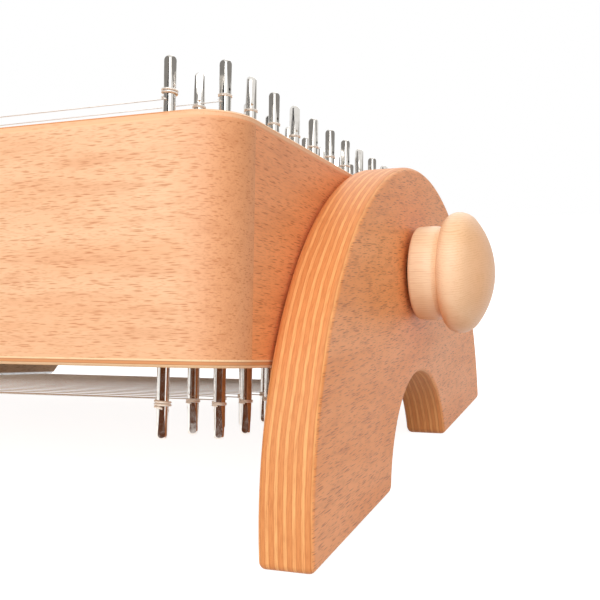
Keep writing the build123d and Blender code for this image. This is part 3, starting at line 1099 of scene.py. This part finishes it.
@dataclass
class Knob:
    """A turned wooden knob: a flange, a soft groove and a domed head."""

    shop: Workshop
    end: End
    flange_radius: float = 22.9 * MM
    flange_width: float = 12.3 * MM
    flange_round: float = 1.8 * MM
    groove_radius: float = 20.8 * MM
    groove_x: float = 13.8 * MM
    head_radius: float = 29.5 * MM
    widest_x: float = 20.8 * MM
    flank_radius: float = 6.6 * MM
    shoulder_radius: float = 9.8 * MM
    bore_radius: float = 6.05 * MM
    bore_depth: float = 22.1 * MM
    steps: int = 96

    def profile(self, length: float) -> list[Vector]:
        """The knob's outline from its base to its crown, radius on X and the axis on Z."""
        start = circle_arc(
            (self.flange_radius - self.flange_round, self.flange_round), self.flange_round, -90, 0, 5
        )
        swell = [
            Vector((self.flange_radius + 0.2 * MM, 0, self.flange_width * 0.35)),
            Vector((self.flange_radius + 0.25 * MM, 0, self.flange_width * 0.6)),
            Vector((self.flange_radius, 0, self.flange_width - 1.2 * MM)),
            Vector((self.flange_radius - 0.7 * MM, 0, self.flange_width - 0.3 * MM)),
        ]
        groove = [Vector((self.groove_radius, 0, self.groove_x))]
        flank = circle_arc((self.head_radius - self.flank_radius, self.widest_x), self.flank_radius, -90, 0, 8)
        middle = self.head_radius - self.shoulder_radius
        reach = length - self.widest_x
        crown = (reach**2 + middle**2 - self.shoulder_radius**2) / (2 * (reach - self.shoulder_radius))
        crown_z = length - crown
        join = math.degrees(math.atan2(self.widest_x - crown_z, middle))
        shoulder = circle_arc((middle, self.widest_x), self.shoulder_radius, 0, join, 10)
        cap = circle_arc((0, crown_z), crown, join, 90, 12)
        cap[-1].x = 0.0
        bore = [Vector((0, 0, self.bore_depth)), Vector((self.bore_radius, 0, self.bore_depth)), Vector((self.bore_radius, 0, 0))]
        return [*bore, *start, *swell, *groove, *flank, *shoulder[1:], *cap[1:]]

    def build(self) -> None:
        """Makes the knob."""
        node = f"{self.end.prefix}_knob"
        low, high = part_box(node)
        base = low.x if self.end is End.HEAD else high.x
        shape = revolved(self.profile(high.x - low.x), self.steps)
        axis = self.shop.space.axis_point
        turn = Matrix.Rotation(self.end.value * math.pi / 2, 4, "Y")
        mesh = mesh_of(shape, node, 38.0)
        mesh.transform(Matrix.Translation((base, axis.y, axis.z)) @ turn)
        self.shop.piece(f"{self.end.prefix}_turned_knob", mesh, f"{self.end.prefix} knob", node, [node], "knob_maple")


@dataclass
class Bridges:
    """Tapered hardwood bridges with softened edges."""

    shop: Workshop
    plan: StringPlan
    base_width: float = 18.0 * MM
    top_width: float = 6.0 * MM
    foot_height: float = 4.0 * MM
    rod_radius: float = 1.5 * MM
    edge: float = 0.7 * MM

    def build(self) -> None:
        """Makes the four bridges."""
        space = self.shop.space
        for side, prefix in ((Side.UPPER, "top"), (Side.LOWER, "bottom")):
            for end in ("head", "tail"):
                node = f"{prefix}_{end}_bridge"
                heights = space.heights(node)
                crest = (max(heights) if side is Side.UPPER else -min(heights)) - space.half_height
                offsets = [(v.co - space.axis_point).dot(space.across) for v in frame["nodes"][node].data.vertices]
                shape = bmesh.new()
                bmesh.ops.create_cube(shape, size=1.0)
                bmesh.ops.scale(shape, verts=shape.verts, vec=(self.base_width, max(offsets) - min(offsets), self.foot_height))
                bmesh.ops.translate(shape, verts=shape.verts, vec=(0, 0, self.foot_height / 2))
                top = [f for f in shape.faces if f.normal.z > 0.9]
                raised = bmesh.ops.extrude_face_region(shape, geom=top)
                verts = [v for v in raised["geom"] if isinstance(v, bmesh.types.BMVert)]
                bmesh.ops.delete(shape, geom=top, context="FACES_ONLY")
                bmesh.ops.translate(shape, verts=verts, vec=(0, 0, crest - self.foot_height))
                bmesh.ops.scale(shape, verts=verts, vec=(self.top_width / self.base_width, 1, 1))
                bmesh.ops.bevel(
                    shape, geom=shape.edges[:], affect="EDGES", offset=self.edge, segments=3, profile=0.5, material=-1
                )
                mesh = mesh_of(shape, node, 50.0)
                mesh.transform(space.seat(self.plan.bridge_x(node), 0, side))
                self.shop.piece(f"{prefix}_{end}_string_bridge", mesh, "bridge wood", "soundbox", [node], "maple_bridge", even_normals=True)


def make_finishes(shop: Workshop) -> None:
    """Builds every finish once and keeps it under its name."""
    space, effects = shop.space, shop.effects
    # The sides darken towards their rounded ends, partly end grain and partly painted shade.
    side_wood = Beech(
        "Beech sides", srgb(247, 200, 159), srgb(229, 157, 107), srgb(190, 112, 62), end_start=0.566, end_stop=0.603,
    )
    block_wood = Beech(
        "Beech end blocks", srgb(250, 168, 112), srgb(238, 149, 86), srgb(164, 86, 44), across_grain=True,
        fleck_length=8.0 * MM, fleck_width=0.75 * MM,
    )
    brace_wood = Beech("Spruce braces", srgb(236, 204, 158), srgb(222, 184, 132), srgb(196, 150, 98), across_grain=True)
    bridge_wood = Beech("Maple bridges", srgb(232, 192, 148), srgb(220, 170, 120), srgb(176, 118, 76), across_grain=True)
    # The upper board's cream end-edge colour is a painted highlight on its eased top edge.
    upper_board = ThinPly(
        "Upper board", srgb(240, 190, 140), srgb(247, 196, 152), srgb(245, 190, 146), srgb(240, 184, 138),
        srgb(204, 130, 78), srgb(212, 136, 78), srgb(238, 162, 112), srgb(250, 214, 174), 3 * MM,
    )
    lower_board = ThinPly(
        "Lower board", srgb(240, 190, 140), srgb(250, 208, 162), srgb(214, 146, 96), srgb(150, 86, 46),
        srgb(206, 142, 92), srgb(250, 208, 162), srgb(250, 208, 162), srgb(250, 208, 162), 3 * MM,
    )
    foot = FootPly(
        "Foot plywood", srgb(250, 170, 112), srgb(240, 153, 88), srgb(160, 84, 42),
        srgb(248, 180, 114), srgb(226, 147, 86), srgb(184, 100, 48),
    )
    knob = TurnedWood("Turned maple", srgb(251, 222, 186), srgb(245, 208, 164), srgb(208, 146, 88), srgb(236, 150, 76))
    shop.finishes.update(
        {
            "beech": side_wood.build(effects, space),
            "block": block_wood.build(effects, space),
            "brace": brace_wood.build(effects, space),
            "bridge wood": bridge_wood.build(effects, space),
            "upper board": upper_board.build(effects, space),
            "lower board": lower_board.build(effects, space),
            "nickel": Metal("Nickel plate", srgb(226, 222, 216), srgb(176, 164, 150), 0.07).build(),
            "milled nickel": Metal(
                "Milled nickel", srgb(176, 168, 162), srgb(128, 118, 110), 0.24, brushed=0.6
            ).build(),
            # The washers are coloured near black as painted shade for the shadowed gap behind the knob's flange.
            "gap shade washer": Metal("Blackened steel", srgb(58, 50, 46), srgb(34, 28, 26), 0.45).build(),
            "zinc": Metal("Zinc plate", srgb(198, 200, 202), srgb(150, 150, 150), 0.28).build(),
            "brass": Metal("Turned brass", srgb(214, 178, 104), srgb(160, 118, 60), 0.22).build(),
            "steel wire": Metal(
                "Steel wire", srgb(242, 236, 228), srgb(214, 196, 176), 0.3, metallic=0.8
            ).build(),
            "bronze wire": Metal(
                "Bronze wire", srgb(250, 236, 220), srgb(220, 186, 152), 0.38, metallic=0.35
            ).build(),
            "wound wire": Metal(
                "Wound wire", srgb(254, 246, 236), srgb(240, 220, 200), 0.25, metallic=0.85
            ).build(),
            "cork": Cork("Cork and rubber", srgb(92, 62, 42), srgb(52, 34, 24), srgb(150, 112, 80)).build(),
        }
    )
    for end in End:
        low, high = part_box(f"{end.prefix}_foot")
        shop.finishes[f"{end.prefix} foot"] = foot.build(effects, (low.x + high.x) / 2, (high.x - low.x) / 2)
        knob_low, knob_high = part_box(f"{end.prefix}_knob")
        middle = (knob_low + knob_high) / 2
        shop.finishes[f"{end.prefix} knob"] = knob.build(middle, end.value)


def dress_frame(shop: Workshop) -> None:
    """Gives the nodes that stay in view their finishes."""
    finishes = {
        "front_side": "beech",
        "back_side": "beech",
        "pin_block": "block",
        "hitch_block": "block",
        "cross_braces": "brace",
        "top_soundboard": "upper board",
        "bottom_soundboard": "lower board",
        "top_bridge_rods": "zinc",
        "bottom_bridge_rods": "zinc",
    }
    for node, finish in finishes.items():
        shop.dress(node, finish)
    for end in End:
        for part, finish in (
            ("friction_disc", "cork"),
            ("stud_socket", "brass"),
            ("stud", "zinc"),
            # The washers take the near-black painted gap shade.
            ("washer", "gap shade washer"),
            ("knob_bush", "brass"),
        ):
            shop.dress(f"{end.prefix}_{part}", finish)


@dataclass
class Studio:
    """A white floor and background, soft lamps, dark flags for the metal, and the camera."""

    target: Vector = field(default_factory=lambda: Vector((0.56, 0.0, 0.1)))
    world_level: float = 0.57
    floor_glow: float = 0.9
    floor_gap: float = 0.1 * MM
    camera_place: Vector = field(default_factory=lambda: Vector((0.7402, -0.4403, 0.1298)))
    camera_yaw: float = math.radians(22.17)
    camera_pitch: float = math.radians(5.66)
    camera_roll: float = math.radians(-2.80)
    focal_pixels: float = 908.8
    image_pixels: float = 600.0

    def plane(self, name: str, size: tuple[float, float], place: Matrix, material: bpy.types.Material) -> bpy.types.Object:
        """A flat sheet that isn't part of the object."""
        shape = bmesh.new()
        bmesh.ops.create_grid(shape, x_segments=1, y_segments=1, size=0.5)
        bmesh.ops.scale(shape, verts=shape.verts, vec=(*size, 1))
        bmesh.ops.transform(shape, verts=shape.verts, matrix=place)
        mesh = bpy.data.meshes.new(name)
        shape.to_mesh(mesh)
        shape.free()
        mesh.materials.append(material)
        sheet = bpy.data.objects.new(name, mesh)
        bpy.context.scene.collection.objects.link(sheet)
        return sheet

    def floor(self) -> None:
        """Makes the floor, which shows white from above, keeps the shadow and is clear from below."""
        material, graph, shader = new_material("White floor")
        shader.inputs["Base Color"].default_value = rgba((0.55, 0.55, 0.55))
        shader.inputs["Roughness"].default_value = 0.9
        shader.inputs["Specular IOR Level"].default_value = 0.0
        rays = graph.add("LightPath").outputs
        seen = graph.math("MAXIMUM", rays["Is Camera Ray"], rays["Is Glossy Ray"])
        graph.tree.links.new(graph.math("MULTIPLY", seen, self.floor_glow), shader.inputs["Emission Strength"])
        shader.inputs["Emission Color"].default_value = (1, 1, 1, 1)
        behind = graph.add("NewGeometry").outputs["Backfacing"]
        hidden = graph.math("MULTIPLY", behind, rays["Is Camera Ray"])
        shown = graph.add("MixShader", {0: hidden, 1: shader.outputs[0], 2: graph.add("BsdfTransparent").outputs[0]})
        graph.tree.links.new(shown.outputs[0], material.node_tree.nodes["Material Output"].inputs[0])
        self.plane("floor", (12.0, 12.0), Matrix.Translation((0, 0, -self.floor_gap)), material)

    def card(self, name: str, azimuth: float, distance: float, width: float, span: tuple[float, float], colour: Colour) -> None:
        """Stands a sheet off the picture that only shows in reflections.

        Args:
            name: The sheet's name.
            azimuth: Its direction from the target, in degrees anticlockwise from +X.
            distance: How far off it stands.
            width: How wide it is.
            span: The heights of its lower and upper edges.
            colour: Its colour in reflections.
        """
        material = bpy.data.materials.new(name)
        material.use_nodes = True
        graph = Graph(material.node_tree)
        material.node_tree.nodes.remove(material.node_tree.nodes["Principled BSDF"])
        glow = graph.add("Emission", {"Color": rgba(colour), "Strength": 1.0})
        graph.tree.links.new(glow.outputs[0], material.node_tree.nodes["Material Output"].inputs[0])
        angle = math.radians(azimuth)
        centre = Vector((self.target.x, self.target.y, sum(span) / 2))
        centre += Vector((math.cos(angle), math.sin(angle), 0)) * distance
        upright = Matrix.Rotation(angle + math.pi / 2, 4, "Z") @ Matrix.Rotation(math.pi / 2, 4, "X")
        sheet = self.plane(name, (width, span[1] - span[0]), Matrix.Translation(centre) @ upright, material)
        sheet.visible_camera = False
        sheet.visible_diffuse = False
        sheet.visible_shadow = False

    def lamp(self, name: str, place: Vector, size: float, power: float) -> None:
        """Hangs a square lamp that faces the target."""
        data = bpy.data.lights.new(name, "AREA")
        data.shape = "SQUARE"
        data.size = size
        data.energy = power
        item = bpy.data.objects.new(name, data)
        item.location = place
        item.rotation_mode = "QUATERNION"
        item.rotation_quaternion = (self.target - place).to_track_quat("-Z", "Y")
        bpy.context.scene.collection.objects.link(item)

    def world(self) -> None:
        """Lights the scene evenly and shows white to the camera and to reflections."""
        world = bpy.data.worlds.new("Studio")
        bpy.context.scene.world = world
        world.use_nodes = True
        graph = Graph(world.node_tree)
        shader = world.node_tree.nodes["Background"]
        rays = graph.add("LightPath").outputs
        seen = graph.math("MAXIMUM", rays["Is Camera Ray"], rays["Is Glossy Ray"])
        seen = graph.math("MAXIMUM", seen, rays["Is Transmission Ray"])
        strength = graph.add("MapRange", {"Value": seen, "To Min": self.world_level, "To Max": 1.0}).outputs[0]
        graph.tree.links.new(strength, shader.inputs["Strength"])
        shader.inputs["Color"].default_value = (1, 1, 1, 1)

    def camera(self) -> None:
        """Stands the camera at the photograph's viewing angle."""
        data = bpy.data.cameras.new("camera")
        data.sensor_width = 36.0
        data.lens = self.focal_pixels * data.sensor_width / self.image_pixels
        data.clip_start = 0.01
        item = bpy.data.objects.new("camera", data)
        bpy.context.scene.collection.objects.link(item)
        turn = Matrix.Rotation(self.camera_yaw, 4, "Z") @ Matrix.Rotation(math.pi / 2 - self.camera_pitch, 4, "X")
        item.matrix_world = Matrix.Translation(self.camera_place) @ turn @ Matrix.Rotation(self.camera_roll, 4, "Z")
        bpy.context.scene.camera = item

    def build(self) -> None:
        """Sets the whole studio up."""
        bpy.context.scene.view_settings.view_transform = "Standard"
        self.world()
        self.floor()
        self.lamp("key", Vector((0.6, -1.8, 1.3)), 1.5, 27.0)
        self.lamp("fill", Vector((1.4, -1.5, 0.9)), 1.0, 5.0)
        self.lamp("back", Vector((0.6, 1.6, 1.4)), 1.6, 8.0)
        self.card("dark_card", -95.0, 1.6, 1.5, (0.45, 1.8), (0.02, 0.02, 0.02))
        self.card("left_card", -150.0, 1.8, 1.7, (0.3, 2.2), (0.3, 0.29, 0.28))
        self.card("right_card", 30.0, 1.8, 1.3, (0.3, 2.2), (0.32, 0.31, 0.3))
        self.card("low_card", -75.0, 1.2, 2.6, (0.0, 0.6), srgb(98, 56, 34))
        self.camera()


def main() -> None:
    """Builds every piece of the object and the studio."""
    logging.basicConfig(level=logging.INFO, format="%(name)s: %(message)s")
    shop = Workshop(read_box_space(), Effects())
    make_finishes(shop)
    dress_frame(shop)
    plan = StringPlan(shop.space)
    TuningPins(shop).build(plan)
    Strings(shop, plan).build()
    HitchPins(shop, plan).build()
    Bridges(shop, plan).build()
    for end in End:
        Foot(shop, end).build()
        Knob(shop, end).build()
    Studio().build()


if __name__ == "__main__":
    main()
